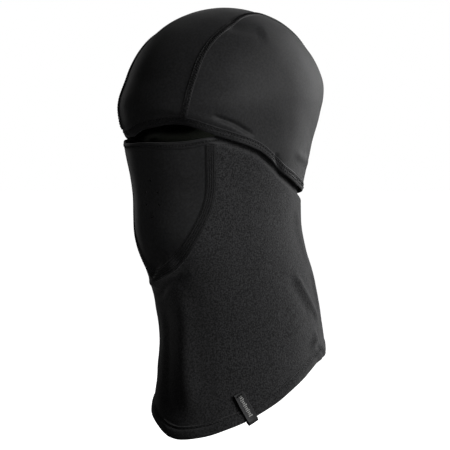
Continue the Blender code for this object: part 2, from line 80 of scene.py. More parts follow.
# edges: angle in degrees from the front centre, height
HOOD_EDGE = (
    (0, 0.0140), (28, 0.0170), (50, 0.0075), (75, -0.0040), (90, -0.0170),
    (99, -0.0245), (125, -0.0360), (180, -0.0430),
)
MASK_LIP = (
    (0, 0.0020), (30, 0.0025), (50, 0.0070), (68, 0.0055), (90, -0.0100),
    (99, -0.0175), (125, -0.0290), (180, -0.0360),
)
BOTTOM_EDGE = (
    (0, -0.2520), (20, -0.2500), (45, -0.2400), (70, -0.2225), (90, -0.2060),
    (115, -0.1890), (150, -0.1810), (180, -0.1780),
)

CROWN_HALF_WIDTH = 0.042
CROWN_HALF_BROW = 0.037
CROWN_HALF_NAPE = 0.028
CROWN_TAPER = (0.9, 1.9)
CORNER_TURN = 0.60
MASK_HALF_ANGLE = 46.0
MASK_STRAIGHT_END = -0.030
MASK_BOTTOM = -0.107
CORNER_ANGLE = 28.0
U_TURN_ANGLE = 41.0       # the U seam turns from the chin to the cheek here

SOFTSHELL = 0.0013
FLEECE = 0.0020
SEAM_GAP = 0.00035
HEM_TUCK = 0.0022         # a panel runs this far in under its hem
FOLD_CURL = 0.0060
CURL_RISE = 0.0130
CURL_ANGLES = (48.0, 20.0)
HOOD_HEM_WIDTH = 0.0070
LIP_HEM_WIDTH = 0.0060
BOTTOM_HEM_WIDTH = 0.0110
LAP_INSET = 0.0046
LAP_FADE = 0.0090
LAP_ANGLES = (38.0, 54.0)
NAPE_INSET = 0.0034
NAPE_ANGLES = (110.0, 160.0)
HOLE_RADIUS = 0.0010
HOLES = (
    (0.0, -0.0300), (-6.0, -0.0400), (6.0, -0.0400),
    (-6.7, -0.0505), (6.7, -0.0505), (0.0, -0.0610),
)

# ---- how it is worn: not in the frame ----
# a pair is where an effect is nothing and where it is full; a stretch has a pair at each end
BROW_SAG = 0.0095
BROW_SAG_ANGLES = ((2.0, -24.0), (-46.0, -28.0))
BROW_SAG_ABOVE_EDGE = (0.034, 0.004)
CHIN_SAG = 0.0110
CHIN_SAG_ANGLES = ((4.0, -18.0), (-58.0, -26.0))
CHIN_SAG_RISES = ((-0.070, -0.098), (-0.150, -0.112))
HEM_RIDE = 0.0120
HEM_RIDE_ANGLES = ((10.0, -26.0), (-100.0, -45.0))
HEM_RIDE_ABOVE_EDGE = (0.075, 0.010)


# ---- curves and the worn shape ----
def smooth_lookup(table, column, where):
    """Smooth curve through one column of a table sorted by its first column."""
    keys = np.array([row[0] for row in table], float)
    values = np.array([row[column] for row in table], float)
    if keys[0] > keys[-1]:
        keys, values = keys[::-1], values[::-1]
    last = len(keys) - 1
    low = np.maximum(np.arange(last + 1) - 1, 0)
    high = np.minimum(np.arange(last + 1) + 1, last)
    slopes = (values[high] - values[low]) / (keys[high] - keys[low])
    where = np.clip(where, keys[0], keys[-1])
    index = np.clip(np.searchsorted(keys, where, side="right") - 1, 0, last - 1)
    span = keys[index + 1] - keys[index]
    t = (where - keys[index]) / span
    return (
        (2 * t**3 - 3 * t**2 + 1) * values[index] + (t**3 - 2 * t**2 + t) * span * slopes[index]
        + (3 * t**2 - 2 * t**3) * values[index + 1] + (t**3 - t**2) * span * slopes[index + 1]
    )


def turned(degrees):
    return np.abs((degrees + 180.0) % 360.0 - 180.0)


def edge_height(table, degrees):
    return smooth_lookup(table, 1, turned(degrees))


def blend(low, high, value):
    """Smooth step from 0 at low to 1 at high."""
    t = np.clip((value - low) / (high - low), 0.0, 1.0)
    return t * t * (3 - 2 * t)


def section(height):
    front = smooth_lookup(SECTIONS, 1, height)
    back = smooth_lookup(SECTIONS, 2, height)
    return (front + back) / 2, (back - front) / 2, smooth_lookup(SECTIONS, 3, height)


def setback(height):
    return DOME_SETBACK * blend(0.0, DOME_SETBACK_REACH, height - DOME_SETBACK_START)


def dome_pull(arc):
    return 1.0 - DOME_SLACK * np.sin(2 * arc)


def cloth_point(degrees, rise, inset=0.0):
    """Points at angles and rises, moved inwards by inset."""
    given = (np.asarray(value, float) for value in (degrees, rise, inset))
    degrees, rise, inset = np.broadcast_arrays(*given)
    angle = np.radians(degrees)
    arc = np.maximum(0.0, (rise - GIRTH_RISE) / DOME_HEIGHT)
    below = np.minimum(rise, GIRTH_RISE)
    height = below + (DOME_HEIGHT - inset) * np.sin(arc)
    centre, depth, width = section(below)
    shrink = np.cos(arc) * dome_pull(arc)
    return np.stack((
        (width - inset) * shrink * np.sin(angle),
        centre + setback(height) - (depth - inset) * shrink * np.cos(angle),
        height,
    ), axis=-1)


def hood_inset(degrees, rise):
    """The hood's front edge curls in under the brow."""
    above = rise - edge_height(HOOD_EDGE, degrees)
    return FOLD_CURL * blend(CURL_RISE, 0.0, above) ** 1.5 * blend(*CURL_ANGLES, turned(degrees))


def neck_inset(degrees, rise):
    """The neck piece tucks in under the hood's hem, but not at the open face."""
    around = turned(degrees)
    depth = LAP_INSET + (NAPE_INSET - LAP_INSET) * blend(*NAPE_ANGLES, around)
    edge = edge_height(HOOD_EDGE, degrees)
    return depth * blend(edge - LAP_FADE, edge - 0.001, rise) * blend(*LAP_ANGLES, around)


def signed(degrees):
    return (np.asarray(degrees, float) + 180.0) % 360.0 - 180.0


def within(stretch, value):
    """1 inside a stretch, fading to 0 at both its ends."""
    return blend(*stretch[0], value) * blend(*stretch[1], value)


def above_edge(table, degrees, rise, far, near):
    """1 near an edge, fading to 0 far above it."""
    edge = edge_height(table, degrees)
    return blend(edge + far, edge + near, rise)


def hood_sag(degrees, rise):
    """The brow of the hood hangs lower on the wearer's right."""
    side = within(BROW_SAG_ANGLES, signed(degrees))
    return -BROW_SAG * side * above_edge(HOOD_EDGE, degrees, rise, *BROW_SAG_ABOVE_EDGE)


def neck_sag(degrees, rise):
    """On the wearer's right the chin seam hangs lower and the bottom hem rides higher."""
    around = signed(degrees)
    chin = within(CHIN_SAG_ANGLES, around) * within(CHIN_SAG_RISES, rise)
    hem = within(HEM_RIDE_ANGLES, around)
    hem = hem * above_edge(BOTTOM_EDGE, degrees, rise, *HEM_RIDE_ABOVE_EDGE)
    return HEM_RIDE * hem - CHIN_SAG * chin


def hood_base(degrees, rise):
    return cloth_point(degrees, rise + hood_sag(degrees, rise), hood_inset(degrees, rise))


def neck_base(degrees, rise):
    return cloth_point(degrees, rise + neck_sag(degrees, rise), neck_inset(degrees, rise))


def unit(vectors):
    return vectors / np.maximum(np.linalg.norm(vectors, axis=-1, keepdims=True), 1e-12)


# ---- folds and slack of the worn cloth ----
def swell(points, scale, seed):
    """Smooth noise from -1 to 1 at each point, with features about scale metres wide."""
    flat = points.reshape(-1, 3) / scale + seed
    values = np.array([noise.noise(Vector(p)) for p in flat.tolist()])
    return values.reshape(points.shape[:-1])


def swells(points, layers):
    """Add up layers of (height, width, seed)."""
    return sum(height * swell(points, scale, seed) for height, scale, seed in layers)


def fold(points, base, path, width, height):
    """A soft fold over the cloth through a few (angle, rise) places; it fades at both ends."""
    corners = np.array(path, float)
    marks = np.linspace(0, len(corners) - 1, FOLD_STEPS * (len(corners) - 1) + 1)
    index = np.arange(len(corners))
    line = base(np.interp(marks, index, corners[:, 0]), np.interp(marks, index, corners[:, 1]))
    nearest = np.full(points.shape[:-1], np.inf)
    share = np.zeros(points.shape[:-1])
    for step, (start, end) in enumerate(zip(line[:-1], line[1:])):
        way = end - start
        along = np.clip((points - start) @ way / (way @ way), 0.0, 1.0)
        distance = np.linalg.norm(points - start - along[..., None] * way, axis=-1)
        share = np.where(distance < nearest, (step + along) / (len(line) - 1), share)
        nearest = np.minimum(nearest, distance)
    fade = blend(0.0, 0.25, share) * blend(1.0, 0.75, share)
    return height * np.exp(-(nearest / width) ** 2) * fade


FOLD_STEPS = 6            # straight pieces between two places of a fold
HOOD_SWELLS = ((0.0007, 0.050, 3.1), (0.00025, 0.018, 7.7))
NECK_SWELLS = ((0.0010, 0.055, 11.3), (0.0003, 0.016, 5.9))

# places (angle, rise) on the cloth, width, height; a hollow has a negative height
HOOD_FOLDS = (
    (((46, 0.0250), (59, 0.0180), (73, 0.0070)), 0.0021, -0.0016),
    (((34, 0.0250), (55, 0.0160), (76, 0.0020)), 0.0036, 0.0007),
    (((50, 0.1130), (66, 0.1080), (86, 0.1010)), 0.0095, -0.0017),
    (((56, 0.0030), (75, -0.0060), (91, -0.0190)), 0.0050, 0.0013),
    (((86, -0.0060), (97, -0.0260)), 0.0030, -0.0016),
    (((104, -0.0060), (140, -0.0160)), 0.0040, 0.0008),
    (((-44, 0.0240), (-80, 0.0080)), 0.0034, 0.0008),
    (((-12, 0.0230), (8, 0.0250), (26, 0.0270)), 0.0032, -0.0009),
    (((150, 0.0100), (176, -0.0180)), 0.0050, 0.0009),
    (((-148, 0.0040), (-172, -0.0220)), 0.0055, 0.0009),
)
NECK_FOLDS = (
    (((13, -0.118), (9, -0.145), (8, -0.175), (12, -0.205), (20, -0.238)), 0.0100, 0.0036),
    (((-10, -0.122), (-14, -0.168), (-8, -0.215), (0, -0.242)), 0.0080, -0.0016),
    (((-36, -0.122), (-40, -0.168), (-34, -0.215)), 0.0085, 0.0012),
    (((-34, -0.1075), (0, -0.1060), (20, -0.0960)), 0.0050, 0.0034),
    (((-38, -0.1190), (0, -0.1165), (12, -0.1140), (24, -0.1060)), 0.0046, -0.0042),
    (((-20, -0.1010), (0, -0.0995), (12, -0.0950)), 0.0030, -0.0018),
    (((-18, -0.0950), (12, -0.0935)), 0.0036, -0.0014),
    (((100, -0.1080), (107, -0.1251), (115, -0.1407), (125, -0.1600)), 0.0036, 0.0017),
    (((94, -0.1080), (101, -0.1290), (110, -0.1500)), 0.0060, -0.0010),
    (((127, -0.1080), (126, -0.1260), (128, -0.1500)), 0.0034, 0.0012),
    (((110, -0.1640), (124, -0.1900)), 0.0090, 0.0026),
    (((110, -0.1720), (118, -0.1810), (124, -0.1920)), 0.0028, -0.0013),
    (((118, -0.1580), (117, -0.1760)), 0.0030, -0.0009),
    (((118, -0.052), (128, -0.110)), 0.0060, 0.0014),
    (((132, -0.060), (138, -0.104)), 0.0055, -0.0010),
    (((-112, -0.060), (-130, -0.120)), 0.0065, 0.0015),
    (((-104, -0.152), (-138, -0.190)), 0.0075, 0.0017),
    (((170, -0.070), (164, -0.120)), 0.0070, 0.0014),
)
SEAM_CORNER = 0.0009
SEAM_CORNER_REACH = 0.018
SEAM_CORNER_TOP = (0.114, 0.088)


def crown_corner(points):
    """The panels meet at a slight corner along the crown seams, which fades at the top."""
    degrees, rise = crown_seam_route(np.linspace(0, 1, 160))
    away = np.full(points.shape[:-1], np.inf)
    for side in (1, -1):
        for place in hood_base(side * degrees, rise):
            away = np.minimum(away, np.linalg.norm(points - place, axis=-1))
    near = np.clip(1.0 - away / SEAM_CORNER_REACH, 0.0, 1.0)
    return SEAM_CORNER * near**2 * blend(*SEAM_CORNER_TOP, points[..., 2])


def hood_relief(points):
    relief = swells(points, HOOD_SWELLS) + crown_corner(points)
    for path, width, height in HOOD_FOLDS:
        relief = relief + fold(points, hood_base, path, width, height)
    return relief


def neck_relief(points):
    relief = swells(points, NECK_SWELLS)
    for path, width, height in NECK_FOLDS:
        relief = relief + fold(points, neck_base, path, width, height)
    return relief


BASES = {HOOD: (hood_base, hood_relief), LOWER: (neck_base, neck_relief)}
NEAR_DEGREES = 0.4        # how far apart points are taken to find a direction
NEAR_RISE = 0.0006


def on_cloth(body, degrees, rise, lift=0.0):
    """Points on the worn cloth and their outward and upward directions."""
    base, relief = BASES[body]
    degrees, rise = np.broadcast_arrays(np.asarray(degrees, float), np.asarray(rise, float))
    point = base(degrees, rise)
    side = base(degrees + NEAR_DEGREES, rise) - base(degrees - NEAR_DEGREES, rise)
    up = base(degrees, rise + NEAR_RISE) - base(degrees, rise - NEAR_RISE)
    out = unit(np.cross(side, up))
    away = relief(point) + lift
    return point + out * away[..., None], out, unit(up)


def degrees_per_metre(degrees, rise):
    gap = cloth_point(degrees + 0.5, rise) - cloth_point(degrees - 0.5, rise)
    return 1.0 / np.linalg.norm(gap, axis=-1)


# ---- outlines of the panels ----
def crown_half_over(turn):
    """Half width of the crown panel over the dome; turn is 0 at the brow, pi at the nape."""
    return CROWN_HALF_WIDTH + (CROWN_HALF_NAPE - CROWN_HALF_WIDTH) * blend(*CROWN_TAPER, turn)


def crown_half_below(rise, behind):
    if behind:
        return CROWN_HALF_NAPE + 0.0 * rise
    return CROWN_HALF_BROW + (CROWN_HALF_WIDTH - CROWN_HALF_BROW) * blend(0.010, GIRTH_RISE, rise)


def crown_seam_over(turn):
    """(angle, rise) of the left crown seam over the dome."""
    width = section(np.array(GIRTH_RISE))[2]
    share = crown_half_over(turn) / width
    shrink = np.sqrt(1.0 - share**2)
    degrees = np.degrees(np.arctan2(share, shrink * np.cos(turn)))
    return degrees, GIRTH_RISE + DOME_HEIGHT * np.arcsin(shrink * np.sin(turn))


def crown_seam_angle(rise, behind):
    """Angle of the left crown seam at a rise below the girth."""
    rise = np.minimum(rise, GIRTH_RISE)
    angle = np.degrees(np.arcsin(crown_half_below(rise, behind) / section(rise)[2]))
    return 180.0 - angle if behind else angle


def crown_seam_up(low, way, behind):
    """(angle, rise) of the left crown seam, a way above its low end; CORNER_TURN ends it."""
    skirt = GIRTH_RISE - low
    dome = CORNER_TURN * DOME_HEIGHT
    climbed = way * (skirt + dome)
    turn = CORNER_TURN * np.maximum(climbed - skirt, 0.0) / dome
    over = crown_seam_over(math.pi - turn if behind else turn)
    on_skirt = climbed <= skirt
    return (np.where(on_skirt, crown_seam_angle(low + climbed, behind), over[0]),
            np.where(on_skirt, low + climbed, over[1]))


def mask_angle(rise):
    """Half angle of the U-shaped mask seam at a height."""
    t = np.clip((rise - MASK_STRAIGHT_END) / (MASK_BOTTOM - MASK_STRAIGHT_END), 0.0, 1.0)
    return MASK_HALF_ANGLE * (1.0 - t**2) ** (2 / 3)


def u_turn_degrees(turn):
    """Angle along the low part of the U seam; turn goes from 0 at the chin to pi / 4."""
    return U_TURN_ANGLE * np.sin(np.minimum(turn, math.pi / 4)) / math.sin(math.pi / 4)


def mask_rise(degrees):
    share = 1.0 - (np.minimum(np.abs(degrees), MASK_HALF_ANGLE) / MASK_HALF_ANGLE) ** 1.5
    return MASK_STRAIGHT_END + (MASK_BOTTOM - MASK_STRAIGHT_END) * np.sqrt(share)


def coons(u, v, bottom, top, left, right):
    """Fill a four-sided outline; each side is a function of 0..1 giving (angle, rise)."""
    low, high, first, last = bottom(u), top(u), left(v), right(v)
    ends = np.zeros(1), np.ones(1)
    corners = (bottom(ends[0]), bottom(ends[1]), top(ends[0]), top(ends[1]))
    weights = ((1 - u) * (1 - v), u * (1 - v), (1 - u) * v, u * v)
    return tuple(
        (1 - v) * low[i] + v * high[i] + (1 - u) * first[i] + u * last[i]
        - sum(weight * corner[i] for weight, corner in zip(weights, corners))
        for i in (0, 1)
    )


def hood_cloth_edge(degrees):
    return edge_height(HOOD_EDGE, degrees) + HOOD_HEM_WIDTH - HEM_TUCK


def lip_cloth_edge(degrees):
    return edge_height(MASK_LIP, degrees) - LIP_HEM_WIDTH + HEM_TUCK


def crown_cloth_angle(rise, behind):
    """Angle of the crown panel's own edge, just inside the seam."""
    rise = np.minimum(rise, GIRTH_RISE)
    half = crown_half_below(rise, behind) - SEAM_GAP / 2
    return np.degrees(np.arcsin(half / section(rise)[2]))


def crown_skirt(across, share, behind):
    """The crown panel between the hem and the girth, at the brow or the nape."""
    low = np.zeros_like(across)
    for _ in range(6):
        degrees = across * crown_cloth_angle(low, behind)
        low = hood_cloth_edge(180.0 - degrees if behind else degrees)
    rise = low + (GIRTH_RISE - low) * share
    degrees = across * crown_cloth_angle(rise, behind)
    return hood_base(180.0 - degrees if behind else degrees, rise)


def crown_dome(across, turn):
    """The crown panel over the dome; turn runs from 0 at the brow to pi at the nape."""
    centre, depth, width = section(np.array(GIRTH_RISE))
    x = across * (crown_half_over(turn) - SEAM_GAP / 2)
    shrink = np.sqrt(1.0 - (x / width) ** 2)
    pull = dome_pull(np.arcsin(np.clip(shrink * np.sin(turn), 0.0, 1.0)))
    height = GIRTH_RISE + DOME_HEIGHT * shrink * np.sin(turn)
    forward = depth * shrink * np.cos(turn) * pull
    return np.stack((x * pull, centre + setback(height) - forward, height), -1)


def crown_points(across, along):
    """Crown panel; across is -1..1, along is 0 at the brow and 1 at the nape."""
    front, back = 0.10, 0.26
    turn = np.clip(math.pi * (along - front) / (1.0 - front - back), 0.0, math.pi)
    points = crown_dome(across, turn)
    low = (along < front)[..., None]
    points = np.where(low, crown_skirt(across, np.clip(along / front, 0, 1), False), points)
    low = (along > 1.0 - back)[..., None]
    return np.where(low, crown_skirt(across, np.clip((1.0 - along) / back, 0, 1), True), points)


def side_outline():
    """Four sides of the left side panel."""
    gap_degrees = SEAM_GAP * degrees_per_metre(45.0, GIRTH_RISE)

    def corner(behind):
        rise = np.zeros(1)
        for _ in range(8):
            rise = hood_cloth_edge(crown_seam_angle(rise, behind))
        return rise

    front_low, back_low = corner(False), corner(True)

    def edge(v, behind):
        degrees, rise = crown_seam_up(back_low if behind else front_low, v, behind)
        return degrees + (-gap_degrees if behind else gap_degrees), rise

    front, back = partial(edge, behind=False), partial(edge, behind=True)

    def bottom(u):
        start, end = front(np.zeros(1))[0], back(np.zeros(1))[0]
        degrees = start + (end - start) * u
        return degrees, hood_cloth_edge(degrees)

    def top(u):
        degrees, rise = crown_seam_over(CORNER_TURN + (math.pi - 2.0 * CORNER_TURN) * u)
        drop = SEAM_GAP * 2.0 * np.sin(math.pi * u)
        return degrees + gap_degrees * (1.0 - 2.0 * u), rise - drop

    return bottom, top, front, back


def mask_outline(gap):
    """Four sides of the mask panel; gap pulls the outline in from the seam line."""
    low_corner = mask_rise(CORNER_ANGLE)
    gap_degrees = gap * degrees_per_metre(MASK_HALF_ANGLE, MASK_STRAIGHT_END)
    high_corner = lip_cloth_edge(MASK_HALF_ANGLE)

    def bottom(u):
        degrees = CORNER_ANGLE * (2.0 * u - 1.0)
        return degrees * (1.0 - gap_degrees / CORNER_ANGLE), mask_rise(degrees) + gap

    def flank(v, side):
        rise = low_corner + gap * (1.0 - v) + (high_corner - low_corner) * v
        angle = mask_angle(low_corner + (high_corner - low_corner) * v) - gap_degrees
        return side * angle, rise

    def top(u):
        degrees = (MASK_HALF_ANGLE - gap_degrees) * (2.0 * u - 1.0)
        return degrees, lip_cloth_edge(degrees)

    return bottom, top, partial(flank, side=-1), partial(flank, side=1)


def neck_outline():
    """Four sides of the left half of the neck panel."""
    front_share = 0.42
    back_end = 179.6
    front_low = edge_height(BOTTOM_EDGE, 0.0) + BOTTOM_HEM_WIDTH - HEM_TUCK
    gap_degrees = SEAM_GAP * degrees_per_metre(MASK_HALF_ANGLE, MASK_STRAIGHT_END)
    seam_top = lip_cloth_edge(MASK_HALF_ANGLE)

    def bottom(u):
        degrees = back_end * u
        return degrees, edge_height(BOTTOM_EDGE, degrees) + BOTTOM_HEM_WIDTH - HEM_TUCK

    def front(v):
        seam_low = MASK_BOTTOM - SEAM_GAP
        centre_rise = front_low + (seam_low - front_low) * v / front_share
        turn = 0.5 * math.pi * np.maximum(v - front_share, 0.0) / (1.0 - front_share)
        low_degrees = u_turn_degrees(turn)
        start = mask_rise(U_TURN_ANGLE)
        high_rise = start + (seam_top - start) * np.maximum(turn / (math.pi / 4) - 1.0, 0.0)
        low = turn < math.pi / 4
        degrees = np.where(low, low_degrees, mask_angle(high_rise))
        rise = np.where(low, mask_rise(low_degrees), high_rise)
        share = degrees / MASK_HALF_ANGLE
        below = v <= front_share
        return (np.where(below, 0.0, degrees + gap_degrees * share),
                np.where(below, centre_rise, rise - SEAM_GAP * (1.0 - share)))

    def back(v):
        low = bottom(np.ones(1))[1]
        return back_end + 0.0 * v, low + (lip_cloth_edge(180.0) - low) * v

    def top(u):
        start = front(np.ones(1))[0]
        degrees = start + (back_end - start) * u
        return degrees, lip_cloth_edge(degrees)

    return bottom, top, front, back


# ---- materials ----
SURFACE_SOCKETS = ("Roughness", "Specular IOR Level", "Sheen Weight", "Sheen Roughness")


def new_material(name, colour, surface):
    material = bpy.data.materials.new(name)
    material.use_nodes = True
    nodes = material.node_tree.nodes
    shader = nodes["Principled BSDF"]
    shader.inputs["Base Color"].default_value = (*colour, 1.0)
    for socket, value in zip(SURFACE_SOCKETS, surface):
        shader.inputs[socket].default_value = value
    return material, shader, nodes.new("ShaderNodeTexCoord").outputs["Object"]


def add_node(material, kind, **values):
    node = material.node_tree.nodes.new(kind)
    for name, value in values.items():
        node.inputs[name].default_value = value
    return node


def add_noise(material, where, scale, detail=3.0):
    node = add_node(material, "ShaderNodeTexNoise", Scale=scale, Detail=detail)
    material.node_tree.links.new(where, node.inputs["Vector"])
    return node.outputs["Fac"]


def tint(material, shader, factor, dark, light, low=0.3, high=0.7):
    """Vary the colour between two values by a factor."""
    links = material.node_tree.links
    ramp = material.node_tree.nodes.new("ShaderNodeValToRGB")
    for stop, position, colour in zip(ramp.color_ramp.elements, (low, high), (dark, light)):
        stop.position = position
        stop.color = (*colour, 1.0)
    links.new(factor, ramp.inputs["Fac"])
    links.new(ramp.outputs["Color"], shader.inputs["Base Color"])


def bumps(material, shader, layers):
    """Stack bump layers of (height, strength, distance)."""
    links = material.node_tree.links
    previous = None
    for height, strength, distance in layers:
        bump = add_node(material, "ShaderNodeBump", Strength=strength, Distance=distance)
        links.new(height, bump.inputs["Height"])
        if previous:
            links.new(previous, bump.inputs["Normal"])
        previous = bump.outputs["Normal"]
    links.new(previous, shader.inputs["Normal"])


def knit_height(material, where, pitch):
    """Rows of fine loops: two crossed waves of the given pitch."""
    links = material.node_tree.links
    waves = []
    for direction in ("X", "Z"):
        wave = add_node(material, "ShaderNodeTexWave", Scale=1.0 / (3.2 * pitch), Distortion=0.6)
        wave.bands_direction = direction
        links.new(where, wave.inputs["Vector"])
        waves.append(wave.outputs["Fac"])
    mix = material.node_tree.nodes.new("ShaderNodeMath")
    mix.operation = "MULTIPLY"
    links.new(waves[0], mix.inputs[0])
    links.new(waves[1], mix.inputs[1])
    return mix.outputs[0]


def make_cloth(name, base, surface, speckle, dark, light, ramp=(0.3, 0.7), knit=None, grains=()):
    """A speckled cloth; surface is its roughness, specular, sheen and sheen roughness."""
    material, shader, where = new_material(name, base, surface)
    tint(material, shader, add_noise(material, where, *speckle), dark, light, *ramp)
    layers = []
    if knit:
        pitch, strength, distance = knit
        layers.append((knit_height(material, where, pitch), strength, distance))
    for scale, detail, strength, distance in grains:
        layers.append((add_noise(material, where, scale, detail), strength, distance))
    bumps(material, shader, layers)
    return material


# base colour, surface, (speckle scale, detail), dark, light, ramp; knit is (pitch, strength,
# distance) and a grain is (scale, detail, strength, distance)
CLOTHS = {
    "softshell": dict(
        base=(0.012, 0.012, 0.012), surface=(0.62, 0.22, 0.10, 0.45), speckle=(560.0, 6.0),
        dark=(0.0078, 0.0078, 0.0084), light=(0.0172, 0.0172, 0.0182), ramp=(0.36, 0.66),
        knit=(0.0006, 0.25, 0.00012), grains=((2200.0, 2.0, 0.20, 0.00010),)),
    "fleece": dict(
        base=(0.016, 0.016, 0.016), surface=(0.95, 0.10, 0.18, 0.60), speckle=(820.0, 4.0),
        dark=(0.0035, 0.0035, 0.0040), light=(0.0350, 0.0350, 0.0365), ramp=(0.38, 0.63),
        grains=((700.0, 4.0, 0.55, 0.0005), (1700.0, 4.0, 0.60, 0.0003))),
    "lining": dict(
        base=(0.06, 0.066, 0.052), surface=(0.95, 0.10, 0.20, 0.60), speckle=(800.0, 4.0),
        dark=(0.045, 0.052, 0.038), light=(0.080, 0.090, 0.068),
        grains=((900.0, 3.0, 0.5, 0.0004),)),
    "thread": dict(
        base=(0.004, 0.004, 0.004), surface=(0.50, 0.30, 0.05, 0.40), speckle=(3000.0, 2.0),
        dark=(0.0025, 0.0025, 0.0028), light=(0.0060, 0.0060, 0.0064),
        grains=((5000.0, 2.0, 0.3, 0.0001),)),
    "label": dict(
        base=(0.030, 0.030, 0.030), surface=(0.55, 0.30, 0.05, 0.40), speckle=(2500.0, 2.0),
        dark=(0.022, 0.022, 0.023), light=(0.038, 0.038, 0.040),
        knit=(0.0003, 0.4, 0.00010)),
    "satin": dict(
        base=(0.40, 0.40, 0.40), surface=(0.42, 0.45, 0.05, 0.30), speckle=(1500.0, 3.0),
        dark=(0.34, 0.34, 0.33), light=(0.44, 0.44, 0.43),
        knit=(0.0003, 0.3, 0.00008)),
}
MATERIALS = {name: make_cloth(name, **values) for name, values in CLOTHS.items()}


# ---- mesh builders ----
def grid_faces(rows, columns, wrap_columns=False, wrap_rows=False):
    index = np.arange(rows * columns).reshape(rows, columns)
    if wrap_columns:
        index = np.concatenate((index, index[:, :1]), axis=1)
    if wrap_rows:
        index = np.concatenate((index, index[:1]), axis=0)
    corners = (index[:-1, :-1], index[:-1, 1:], index[1:, 1:], index[1:, :-1])
    return np.stack(corners, -1).reshape(-1, 4)


def new_object(name, data):
    item = bpy.data.objects.new(name, data)
    bpy.context.scene.collection.objects.link(item)
    return item


def add_piece(name, points, faces, slot, body, *nodes):
    mesh = bpy.data.meshes.new(name)
    mesh.from_pydata(points.reshape(-1, 3).tolist(), [], [tuple(face) for face in faces])
    mesh.shade_smooth()
    mesh.materials.append(MATERIALS[slot])
    item = new_object(name, mesh)
    if body:
        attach(item, body)
    if nodes:
        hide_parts(*nodes)
    return item


def add_sheet(name, points, slot, body, *nodes):
    """A piece made of one grid of points."""
    return add_piece(name, points, grid_faces(*points.shape[:2]), slot, body, *nodes)


def thicken(item, thickness, lined=False):
    """Give a sheet its thickness inwards; a lined one has the lining on its inner face."""
    solid = item.modifiers.new("cloth", "SOLIDIFY")
    if lined:
        item.data.materials.append(MATERIALS["lining"])
        solid.material_offset = 1
    solid.thickness = thickness
    solid.offset = -1.0
    return item


def unit_grid(columns, rows):
    return np.meshgrid(np.linspace(0, 1, columns), np.linspace(0, 1, rows))


def outward(points):
    """Outward directions of a grid of points whose columns run round the head."""
    return unit(np.cross(np.gradient(points, axis=1), np.gradient(points, axis=0)))


def cloth(name, slot, body, cells, locate, thickness, node):
    """A thick panel; locate(u, v) gives (angle, rise)."""
    u, v = unit_grid(cells[0] + 1, cells[1] + 1)
    points = on_cloth(body, *locate(u, v))[0]
    return thicken(add_sheet(name, points, slot, body, node), thickness, lined=True)


def tube_mesh(centres, normals, radii, sides=6, closed=False):
    """Tubes through rows of centres: points and faces of one mesh; open tubes are capped."""
    count, length = centres.shape[:2]
    if closed:
        along = np.roll(centres, -1, axis=1) - np.roll(centres, 1, axis=1)
    else:
        along = np.gradient(centres, axis=1)
    along = unit(along)
    across = unit(np.cross(along, normals))
    rise = np.cross(across, along)
    turn = np.linspace(0, 2 * math.pi, sides, endpoint=False)
    ring = (np.cos(turn)[:, None] * across[..., None, :]
            + np.sin(turn)[:, None] * rise[..., None, :])
    points = centres[..., None, :] + ring * np.asarray(radii)[..., None, None]
    pattern = grid_faces(length, sides, wrap_columns=True, wrap_rows=closed)
    faces = (pattern[None] + (np.arange(count) * length * sides)[:, None, None]).reshape(-1, 4)
    faces = [tuple(face) for face in faces.tolist()]
    if not closed:
        for row in range(count):
            first = row * length * sides
            last = first + (length - 1) * sides
            faces.append(tuple(range(first + sides - 1, first - 1, -1)))
            faces.append(tuple(range(last, last + sides)))
    return points.reshape(-1, 3), faces


def walk(body, route, length_step, samples=1500):
    """Even steps along a route: t values about length_step metres apart."""
    t = np.linspace(0, 1, samples)
    points = on_cloth(body, *route(t))[0]
    way = np.concatenate(([0], np.cumsum(np.linalg.norm(np.diff(points, axis=0), axis=1))))
    count = max(2, int(round(way[-1] / length_step)))
    return np.interp(np.linspace(0, way[-1], count + 1), way, t), way[-1]


def offset_route(route, t, across):
    """Places beside a route, across metres to its left."""
    degrees, rise = route(t)
    step = 0.002
    before, after = route(np.maximum(t - step, 0.0)), route(np.minimum(t + step, 1.0))
    turn = degrees_per_metre(degrees, rise)
    heading = np.arctan2(after[1] - before[1], (after[0] - before[0]) / turn)
    return degrees - across * np.sin(heading) * turn, rise + across * np.cos(heading)


def dashes(body, route, across, pitch, fill, lift, radius):
    """Short bowed stitches in a row beside a route."""
    marks, _ = walk(body, route, pitch)
    shares = np.linspace(0, 1, 6)
    start, end = marks[:-1, None], marks[1:, None]
    t = start + (end - start) * ((1 - fill) / 2 + fill * shares)
    places = offset_route(route, t, across)
    bow = 0.7 * radius * np.sin(math.pi * shares) - 0.5 * radius
    centres, out, _ = on_cloth(body, *places, lift + bow)
    taper = np.sqrt(np.clip(1.15 - (2 * shares - 1) ** 2, 0.05, 1.0))
    return tube_mesh(centres, out, np.broadcast_to(radius * taper, t.shape))


def zigzag(body, route, low, high, pitch, lift, radius):
    """One thread that goes to and fro between two distances beside a route."""
    marks, _ = walk(body, route, pitch / 8)
    step = np.arange(len(marks)) / 8
    swing = 2 * np.abs(2 * (step % 1.0) - 1) - 1
    swing = np.sin(swing * math.pi / 2)
    across = (low + high) / 2 + (high - low) / 2 * swing
    centres, out, _ = on_cloth(body, *offset_route(route, marks, across), lift)
    radii = np.full((1, len(marks)), radius)
    return tube_mesh(centres[None], out[None], radii)


def join_meshes(parts):
    """Put several (points, faces) together."""
    points, faces, first = [], [], 0
    for some_points, some_faces in parts:
        points.append(some_points)
        faces += [tuple(int(i) + first for i in face) for face in some_faces]
        first += len(some_points)
    return np.concatenate(points), faces


